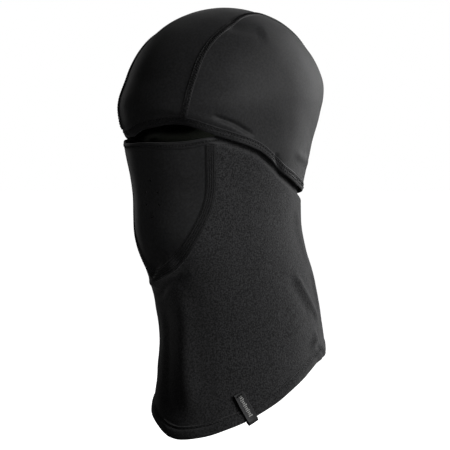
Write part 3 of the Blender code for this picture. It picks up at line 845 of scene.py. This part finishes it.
# ---- seams and hems ----
SEAM_WIDTH = 0.0066
SEAM_NEEDLES = (-0.0024, -0.0008, 0.0008, 0.0024)
MASK_SEAM_WIDTH = 0.0090
MASK_SEAM_NEEDLES = (-0.0036, -0.0018, 0.0, 0.0018, 0.0036)
CROWN_SEAM_WIDTH = 0.0056
CROWN_SEAM_NEEDLES = (-0.0019, -0.0008, 0.0003, 0.0014)
TAPE_CREST = 0.0009
GROOVE_DEPTH = 0.0008
NEEDLE_THREAD = 0.00042
COVER_THREAD = 0.00007
CROWN_COVER_THREAD = 0.00026
STITCH_PITCH = 0.0024
STITCH_FILL = 0.84
TAPE_THICKNESS = 0.0005
TAPE_LIFT = 0.0002
TAPE_ROUNDING = 0.0007
GROOVE_WIDTH = 0.00034
THREAD_SINK = 0.00012

# turned hems: spare width, thickness, how proud the outside stands, groove height and depth
HEM_SPARE = 0.0006
HOOD_HEM_FORM = (0.0019, 0.0004, 0.0054, 0.0005)
LIP_HEM_FORM = (0.0022, 0.0005, 0.0034, 0.0004)
BOTTOM_HEM_FORM = (0.0036, 0.0008, 0.0092, 0.0013)
BOTTOM_HEM_WAVE = 0.00035
HEM_GROOVE_WIDTH = 0.0007

# rows of dashes: height from the edge, pitch, share filled, lift, thread radius
HOOD_ROWS = ((0.0028, 0.0030, 0.52, 0.00055, 0.00045), (0.0054, 0.0030, 0.52, 0.00030, 0.00045))
LIP_ROW = (-0.0029, 0.0028, 0.52, 0.00060, 0.00046)
LIP_ROW_END = 62.0
BOTTOM_ROW = (0.0092, 0.0030, 0.70, 0.00020, 0.00042)
# the cover thread beside a row: from, to, pitch, lift, thread radius
HOOD_COVER = (0.0, 0.0026, 0.0026, 0.00055, 0.00009)
LIP_COVER = (-0.0012, 0.0012, 0.0020, 0.00062, 0.00010)


def flatlock(name, body, route, node, width=SEAM_WIDTH, gap=0.0, lines=SEAM_NEEDLES,
             cover=COVER_THREAD):
    """A flat seam: a low raised tape with a row of stitches sunk in each of its grooves."""
    marks, _ = walk(body, route, 0.0008)
    across = np.linspace(-width / 2, width / 2, 41)
    t = np.broadcast_to(marks[None, :], (len(across), len(marks)))
    side = np.broadcast_to(across[:, None], t.shape)
    crest = TAPE_CREST * blend(width / 2, width / 2 - TAPE_ROUNDING, np.abs(across))
    for line in lines:
        crest = crest - GROOVE_DEPTH * np.exp(-((across - line) / GROOVE_WIDTH) ** 2)
    places = offset_route(route, t, side)
    points = on_cloth(body, *places, gap + TAPE_LIFT + crest[:, None] + 0.0 * t)[0]
    rides = body if node else None
    tape = add_sheet(name + "_tape", points, "softshell", rides, *([node] if node else []))
    thicken(tape, TAPE_THICKNESS)
    lift = gap + TAPE_LIFT + TAPE_CREST - GROOVE_DEPTH + THREAD_SINK
    rows = [dashes(body, route, line, STITCH_PITCH, STITCH_FILL, lift, NEEDLE_THREAD)
            for line in lines]
    rows.append(zigzag(body, route, lines[0], lines[-1], STITCH_PITCH,
                       gap + TAPE_CREST + 0.00015 + cover / 2, cover))
    threads = add_piece(name + "_stitches", *join_meshes(rows), "thread", rides)
    return tape, threads


def hem_profile(hem_width, thickness, proud, groove_at, groove_depth):
    """Closed outline of a turned hem: (height over the edge, lift) pairs, rounded ends."""
    count = 40
    width = hem_width + HEM_SPARE
    turn = np.linspace(0, 2 * math.pi, count, endpoint=False)
    power = 0.55
    height = width / 2 + width / 2 * np.sign(-np.cos(turn)) * np.abs(np.cos(turn)) ** power
    lift = np.sign(-np.sin(turn)) * np.abs(np.sin(turn)) ** power
    swollen = 1.0 + 0.12 * np.sin(math.pi * height / width)
    lift = (proud - thickness / 2) + lift * thickness / 2 * swollen
    outer = np.sin(turn) < 0
    pressed = groove_depth * np.exp(-((height - groove_at) / HEM_GROOVE_WIDTH) ** 2)
    return height, np.where(outer, lift - pressed, lift)


def rolled_hem(name, slot, body, edge, base_offset, profile, node, wave=0.0, grain=None):
    """A turned hem all the way round an edge."""
    steps = 720
    degrees = np.linspace(-180, 180, steps, endpoint=False)
    height, lift = profile
    around, offset = np.meshgrid(degrees, height)
    raised = np.broadcast_to(lift[:, None], around.shape)
    start = edge_height(edge, around) + base_offset
    turn = np.radians(around)
    ripple = wave * (np.sin(turn * 9 + 0.6) + 0.6 * np.sin(turn * 17 + 2.0))
    points, out, _ = on_cloth(body, around, start + offset + 0.5 * ripple, raised + ripple)
    if grain:
        points = points + out * grain(points)[..., None]
    faces = grid_faces(len(height), steps, wrap_columns=True, wrap_rows=True)
    return add_piece(name, points, faces, slot, body, node)


def around_route(edge, offset, first=-180.0, last=180.0):
    def route(t):
        degrees = first + (last - first) * t
        return degrees, edge_height(edge, degrees) + offset
    return route


def stitch_row(body, edge, height, pitch, fill, lift, radius, **ends):
    """A row of dashes round an edge."""
    return dashes(body, around_route(edge, height, **ends), 0.0, pitch, fill, lift, radius)


# ---- the hood ----
SIDES = (("left", 1), ("right", -1))
CROWN_SEAM_ENDS = (28.0, 160.0)
CROWN_SEAM_PARTS = (0.2, 0.5, 0.3)    # shares of the route: brow, dome, nape


def make_crown():
    u, v = unit_grid(121, 421)
    points = crown_points(2.0 * u - 1.0, v)
    points = points + outward(points) * hood_relief(points)[..., None]
    item = add_sheet("crown_cloth", points, "softshell", HOOD, "crown_panel")
    return thicken(item, SOFTSHELL, lined=True)


def make_sides():
    outline = side_outline()
    sides = []

    def locate(u, v, side):
        degrees, rise = coons(u if side > 0 else 1.0 - u, v, *outline)
        return side * degrees, rise

    for word, side in SIDES:
        sides.append(cloth(f"side_cloth_{word}", "softshell", HOOD, (220, 150),
                           partial(locate, side=side), SOFTSHELL, f"side_panel_{word}"))
    return sides


def crown_seam_route(t):
    """(angle, rise) along the left crown seam from the brow to the nape."""
    low_front, low_back = (hood_cloth_edge(degrees) + HEM_TUCK for degrees in CROWN_SEAM_ENDS)
    brow, dome, nape = CROWN_SEAM_PARTS
    front = crown_seam_up(low_front, np.clip(t / brow, 0, 1), False)
    back = crown_seam_up(low_back, np.clip((1.0 - t) / nape, 0, 1), True)
    way = np.clip((t - brow) / dome, 0, 1)
    over = crown_seam_over(CORNER_TURN + (math.pi - 2.0 * CORNER_TURN) * way)
    return tuple(np.where(t < brow, front[i], np.where(t > 1.0 - nape, back[i], over[i]))
                 for i in (0, 1))


def make_crown_seams():
    def route(t, side):
        degrees, rise = crown_seam_route(t)
        return side * degrees, rise

    for word, side in SIDES:
        flatlock(f"crown_join_{word}", HOOD, partial(route, side=side), f"crown_seam_{word}",
                 CROWN_SEAM_WIDTH, 0.0, CROWN_SEAM_NEEDLES, CROWN_COVER_THREAD)


def make_hood_hem():
    profile = hem_profile(HOOD_HEM_WIDTH, *HOOD_HEM_FORM)
    rolled_hem("hood_hem_roll", "softshell", HOOD, HOOD_EDGE, 0.0, profile, "hood_hem")
    rows = [stitch_row(HOOD, HOOD_EDGE, *row) for row in HOOD_ROWS]
    rows.append(zigzag(HOOD, around_route(HOOD_EDGE, HOOD_ROWS[0][0]), *HOOD_COVER))
    add_piece("hood_hem_stitches", *join_meshes(rows), "thread", HOOD, "hood_hem_stitching")


# ---- the mask and neck ----
PILE = ((0.00005, 0.0026, 17.0), (0.00009, 0.0013, 29.0))
NAPE_SEAM_DROP = 0.0033
NAPE_SEAM_START = 152.0
NAPE_SEAM_SPAN = 56.0
NAPE_SEAM_WIDTH = 0.0046
NAPE_SEAM_LIFT = 0.0012
NAPE_SEAM_NEEDLES = (-0.0015, 0.0, 0.0015)
BACK_SEAM_TOP = 0.0065


def fleece_grain(points):
    """Pile of the brushed cloth, down to a millimetre."""
    return swells(points, PILE)


def make_mask():
    outline = mask_outline(SEAM_GAP)
    panel = cloth("mask_cloth", "softshell", LOWER, (150, 170),
                  lambda u, v: coons(u, v, *outline), SOFTSHELL, "mask_panel")
    drills = bmesh.new()
    for degrees, rise in HOLES:
        point, out, _ = on_cloth(LOWER, degrees, rise)
        turn = Vector(out).to_track_quat("Z", "Y").to_matrix().to_4x4()
        turn.translation = Vector(point)
        bmesh.ops.create_cone(drills, cap_ends=True, segments=24, radius1=HOLE_RADIUS,
                              radius2=HOLE_RADIUS, depth=0.010, matrix=turn)
    mesh = bpy.data.meshes.new("hole_cutter")
    drills.to_mesh(mesh)
    drills.free()
    cutter = new_object("hole_cutter", mesh)
    cut = panel.modifiers.new("holes", "BOOLEAN")
    cut.operation = "DIFFERENCE"
    cut.object = cutter
    bake_modifiers(panel)
    bpy.data.objects.remove(cutter, do_unlink=True)
    return panel


def bake_modifiers(item):
    """Replace the mesh with what the modifiers make of it."""
    evaluated = item.evaluated_get(bpy.context.evaluated_depsgraph_get())
    mesh = bpy.data.meshes.new_from_object(evaluated)
    item.modifiers.clear()
    item.data = mesh


def make_neck():
    outline = neck_outline()
    u, v = unit_grid(261, 231)
    degrees, rise = coons(u, v, *outline)
    parts = []
    for side in (1, -1):
        points, out, _ = on_cloth(LOWER, side * degrees, rise)
        points = points + out * fleece_grain(points)[..., None]
        faces = grid_faces(*points.shape[:2])
        parts.append((points.reshape(-1, 3), faces if side > 0 else faces[:, ::-1]))
    points, faces = join_meshes(parts)
    item = add_piece("neck_cloth", points, faces, "fleece", LOWER, "neck_panel")
    work = bmesh.new()
    work.from_mesh(item.data)
    bmesh.ops.remove_doubles(work, verts=work.verts, dist=0.00002)
    work.to_mesh(item.data)
    work.free()
    return thicken(item, FLEECE, lined=True)


def mask_seam_route(t):
    """(angle, rise) along the U seam, from the right cheek under the chin to the left."""
    turn = math.pi * (t - 0.5)
    side = np.where(turn >= 0, 1.0, -1.0)
    turn = np.abs(turn)
    degrees_low = u_turn_degrees(turn)
    start = mask_rise(U_TURN_ANGLE)
    end = lip_cloth_edge(MASK_HALF_ANGLE) - HEM_TUCK + 0.0003
    rise_high = start + (end - start) * np.maximum(turn / (math.pi / 4) - 1.0, 0.0)
    low = turn < math.pi / 4
    return (side * np.where(low, degrees_low, mask_angle(rise_high)),
            np.where(low, mask_rise(degrees_low), rise_high))


def make_mask_trim():
    profile = hem_profile(LIP_HEM_WIDTH, *LIP_HEM_FORM)
    rolled_hem("mask_lip_roll", "softshell", LOWER, MASK_LIP, -LIP_HEM_WIDTH - HEM_SPARE / 2,
               profile, "mask_top_hem")
    ends = {"first": -LIP_ROW_END, "last": LIP_ROW_END}
    rows = [
        stitch_row(LOWER, MASK_LIP, *LIP_ROW, **ends),
        zigzag(LOWER, around_route(MASK_LIP, LIP_ROW[0], **ends), *LIP_COVER),
    ]
    add_piece("mask_lip_stitches", *join_meshes(rows), "thread", LOWER, "mask_top_stitching")
    flatlock("mask_join", LOWER, mask_seam_route, "mask_seam", MASK_SEAM_WIDTH, 0.0,
             MASK_SEAM_NEEDLES)


def make_neck_trim():
    nape_low = edge_height(HOOD_EDGE, 180.0) - BACK_SEAM_TOP

    def back_route(t):
        low = edge_height(BOTTOM_EDGE, 180.0) + BOTTOM_HEM_WIDTH
        return 180.0 + 0.0 * t, low + (nape_low - 0.001 - low) * t

    flatlock("back_join", LOWER, back_route, "neck_back_seam")
    profile = hem_profile(BOTTOM_HEM_WIDTH, *BOTTOM_HEM_FORM)
    rolled_hem("bottom_hem_roll", "fleece", LOWER, BOTTOM_EDGE, 0.0, profile, "bottom_hem",
               BOTTOM_HEM_WAVE, fleece_grain)
    rows = [stitch_row(LOWER, BOTTOM_EDGE, *BOTTOM_ROW)]
    add_piece("bottom_hem_stitches", *join_meshes(rows), "thread", LOWER, "bottom_hem_stitching")


def make_nape():
    """The join at the nape stretches across the hinge."""
    def route(t):
        degrees = NAPE_SEAM_START + NAPE_SEAM_SPAN * t
        return degrees, edge_height(HOOD_EDGE, degrees) - NAPE_SEAM_DROP
    for item in flatlock("nape_join", LOWER, route, None, NAPE_SEAM_WIDTH, NAPE_SEAM_LIFT,
                         NAPE_SEAM_NEEDLES):
        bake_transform(item)
        if item.name.endswith("tape"):
            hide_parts("nape_seam")


# ---- labels and tacks ----
LABEL_ANGLE = 56.0
LABEL_LEAN = math.radians(30.0)
LABEL_WIDTH = 0.0090
LABEL_FRONT = 0.0260
LABEL_BACK = 0.0140
LABEL_THICKNESS = 0.0005
LABEL_OUTSIDE = 0.0022
LABEL_INSIDE = -0.0040
LABEL_RISE = -0.0010      # the fold hangs this far under the hem's edge
LABEL_CURL = 0.0004
MARKS = 12                # plain woven bars up the front of the label
MARK_WIDTHS = (0.0038, 0.0026, 0.0026)
MARK_START, MARK_PITCH, MARK_HEIGHT = 0.0036, 0.0017, 0.0010
MARK_LIFT, MARK_THICKNESS = 0.00012, 0.0002
TACK_THREAD = 0.00020
HEM_TACK_ANGLE = 127.0
HEM_TACK_SIZE = (0.0020, 0.0066)
CARE_SIZE = (0.024, 0.034)
CARE_TOP = -0.115
CARE_GAP = 0.0010
CARE_THICKNESS = 0.0005


def shifted(degrees, rise, along, up, lean):
    """Move over the cloth by metres along and up, turned by the lean towards the front."""
    sideways = along * math.cos(lean) - up * math.sin(lean)
    upward = along * math.sin(lean) + up * math.cos(lean)
    return degrees + sideways * degrees_per_metre(degrees, rise), rise + upward


def label_place(along, up, lift):
    edge = edge_height(BOTTOM_EDGE, LABEL_ANGLE) + LABEL_RISE
    return on_cloth(LOWER, *shifted(np.array(LABEL_ANGLE), edge, along, up, LABEL_LEAN), lift)[:2]


def make_label():
    radius = (LABEL_OUTSIDE - LABEL_INSIDE) / 2
    path = LABEL_BACK + LABEL_FRONT + math.pi * radius
    u, v = unit_grid(31, 161)
    way = v * path
    turn = np.clip((way - LABEL_BACK) / radius, 0.0, math.pi)
    up = np.where(way < LABEL_BACK, LABEL_BACK - way,
                  np.where(turn < math.pi, -radius * np.sin(turn),
                           way - LABEL_BACK - math.pi * radius))
    lift = (LABEL_OUTSIDE + LABEL_INSIDE) / 2 - radius * np.cos(turn)
    curl = LABEL_CURL * (2 * u - 1) ** 2 * blend(math.pi * 0.8, math.pi, turn)
    points = label_place((u - 0.5) * LABEL_WIDTH, up, lift + curl)[0]
    thicken(add_sheet("label_fold", points, "label", LOWER, "woven_label"), LABEL_THICKNESS)
    marks = []
    for bar in range(MARKS):
        u, v = unit_grid(9, 3)
        width = MARK_WIDTHS[bar % 3]
        points = label_place((u - 0.5) * width, MARK_START + MARK_PITCH * bar + MARK_HEIGHT * v,
                             LABEL_OUTSIDE + MARK_LIFT)[0]
        marks.append((points.reshape(-1, 3), grid_faces(3, 9)))
    weave = add_piece("label_weave", *join_meshes(marks), "satin", LOWER)
    thicken(weave, MARK_THICKNESS)


def bar_tack(name, places, count, node):
    """A block of close parallel stitches; places(u, v, bow) gives points and directions."""
    u, v = unit_grid(8, count)
    bow = 0.8 * TACK_THREAD * np.sin(math.pi * u)
    points, out = places(u, v, bow)
    radii = TACK_THREAD * np.sqrt(np.clip(1.15 - (2 * u - 1) ** 2, 0.1, 1.0))
    return add_piece(name, *tube_mesh(points, out, radii), "thread", LOWER, node)


def make_tacks():
    def on_label(u, v, bow):
        return label_place((u - 0.5) * 0.86 * LABEL_WIDTH, LABEL_FRONT - 0.0030 + 0.0012 * v,
                           LABEL_OUTSIDE + 0.0002 + bow)

    def on_hem(u, v, bow):
        low = edge_height(BOTTOM_EDGE, HEM_TACK_ANGLE) + 0.0015
        width, height = HEM_TACK_SIZE
        spot = shifted(np.array(HEM_TACK_ANGLE), low, (v - 0.5) * width, height * u, 0.0)
        return on_cloth(LOWER, *spot, 0.00105 + bow)[:2]

    bar_tack("label_bartack", on_label, 4, "label_tack")
    bar_tack("hem_bartack", on_hem, 6, "hem_tack")


def make_care_tag():
    u, v = unit_grid(25, 35)
    width, height = CARE_SIZE
    spot = shifted(np.array(180.0), CARE_TOP, (u - 0.5) * width, -height * (1.0 - v), 0.0)
    points = on_cloth(LOWER, *spot, -FLEECE - CARE_GAP)[0]
    return thicken(add_sheet("care_tag", points, "satin", LOWER, "care_label"), CARE_THICKNESS)


# ---- studio ----
VIEW_AZIMUTH = math.radians(45.0)
VIEW_ELEVATION = math.radians(1.0)
CAMERA_DISTANCE = 1.8
VIEW_WIDTH = 0.396
TARGET_RIGHT = 0.0035
TARGET_HEIGHT = -0.0686
FLOOR_HEIGHT = -0.300
SENSOR_WIDTH = 36.0
WHITE = (1.0, 1.0, 1.0, 1.0)
SURROUND_STRENGTH = 0.04

LAMP_DISTANCE = 1.6
LAMP_TARGET = (0.0, 0.0, -0.06)
# azimuth, elevation, (width, height), watts
LAMPS = {
    "key": (100.0, 20.0, (0.8, 0.8), 22.0),
    "rim_right": (170.0, 15.0, (0.9, 1.2), 19.0),
    "rim_left": (-106.0, 6.0, (0.30, 1.2), 1.3),
}
SPOT_AZIMUTH = 22.0
SPOT_DISTANCE = 1.8
SPOT_HEIGHT = -0.10
SPOT_TARGET = (0.022, -0.060, -0.040)
SPOT_ANGLE = 6.6
SPOT_POWER = 46.0
SPOT_RADIUS = 0.10


def aim(item, place, target):
    item.location = place
    item.rotation_euler = (Vector(target) - Vector(place)).to_track_quat("-Z", "Y").to_euler()


def direction(turn, tilt):
    """Direction at an azimuth from the front and an elevation, in radians."""
    return Vector((math.sin(turn) * math.cos(tilt), -math.cos(turn) * math.cos(tilt),
                   math.sin(tilt)))


def make_camera():
    lens = bpy.data.cameras.new("camera")
    lens.sensor_width = SENSOR_WIDTH
    lens.lens = SENSOR_WIDTH * CAMERA_DISTANCE / VIEW_WIDTH
    camera = new_object("camera", lens)
    target = Vector((TARGET_RIGHT * math.cos(VIEW_AZIMUTH),
                     TARGET_RIGHT * math.sin(VIEW_AZIMUTH), TARGET_HEIGHT))
    back = direction(VIEW_AZIMUTH, VIEW_ELEVATION)
    aim(camera, target + back * CAMERA_DISTANCE, target)
    bpy.context.scene.camera = camera


def make_light(name, azimuth, elevation, size, power):
    data = bpy.data.lights.new(name, "AREA")
    data.shape = "RECTANGLE"
    data.size, data.size_y = size
    data.energy = power
    lamp = new_object(name, data)
    place = direction(math.radians(azimuth), math.radians(elevation)) * LAMP_DISTANCE
    aim(lamp, place + Vector(LAMP_TARGET), LAMP_TARGET)
    lamp.visible_camera = False


def make_spot():
    """A weak narrow lamp from the front that lifts the mask out of the shadow."""
    data = bpy.data.lights.new("mask_spot", "SPOT")
    data.energy = SPOT_POWER
    data.spot_size = math.radians(SPOT_ANGLE)
    data.spot_blend = 1.0
    data.shadow_soft_size = SPOT_RADIUS
    place = direction(math.radians(SPOT_AZIMUTH), 0.0) * SPOT_DISTANCE
    aim(new_object("mask_spot", data), (place.x, place.y, SPOT_HEIGHT), SPOT_TARGET)


def make_world():
    """White to look at, but a dim surround for the cloth, so that the lamps shape it."""
    world = bpy.data.worlds.new("studio")
    world.use_nodes = True
    bpy.context.scene.world = world
    nodes, links = world.node_tree.nodes, world.node_tree.links
    dim, white = nodes["Background"], nodes.new("ShaderNodeBackground")
    for node, strength in ((dim, SURROUND_STRENGTH), (white, 1.0)):
        node.inputs["Color"].default_value = WHITE
        node.inputs["Strength"].default_value = strength
    path = nodes.new("ShaderNodeLightPath")
    mix = nodes.new("ShaderNodeMixShader")
    links.new(path.outputs["Is Camera Ray"], mix.inputs["Fac"])
    links.new(dim.outputs["Background"], mix.inputs[1])
    links.new(white.outputs["Background"], mix.inputs[2])
    links.new(mix.outputs["Shader"], nodes["World Output"].inputs["Surface"])


def make_floor():
    """A pale floor that doesn't throw light back up on the cloth."""
    bpy.ops.mesh.primitive_plane_add(size=400.0, location=(0.0, 0.0, FLOOR_HEIGHT))
    floor = bpy.context.object
    floor.name = "floor"
    material, shader, where = new_material("floor", (0.80,) * 3, (0.9, 0.0, 0.0, 0.5))
    tint(material, shader, add_noise(material, where, 0.4, 1.0), (0.79,) * 3, (0.82,) * 3)
    shader.inputs["Emission Color"].default_value = WHITE
    shader.inputs["Emission Strength"].default_value = 1.0
    floor.data.materials.append(material)
    floor.visible_diffuse = False
    floor.visible_glossy = False


def make_studio():
    bpy.context.scene.view_settings.view_transform = "Standard"
    make_world()
    make_floor()
    for name, lamp in LAMPS.items():
        make_light(name, *lamp)
    make_spot()


make_camera()
make_studio()
crown = make_crown()
side_left, side_right = make_sides()
make_crown_seams()
make_hood_hem()
mask = make_mask()
neck = make_neck()
make_mask_trim()
make_neck_trim()
make_nape()
make_label()
make_tacks()
care = make_care_tag()
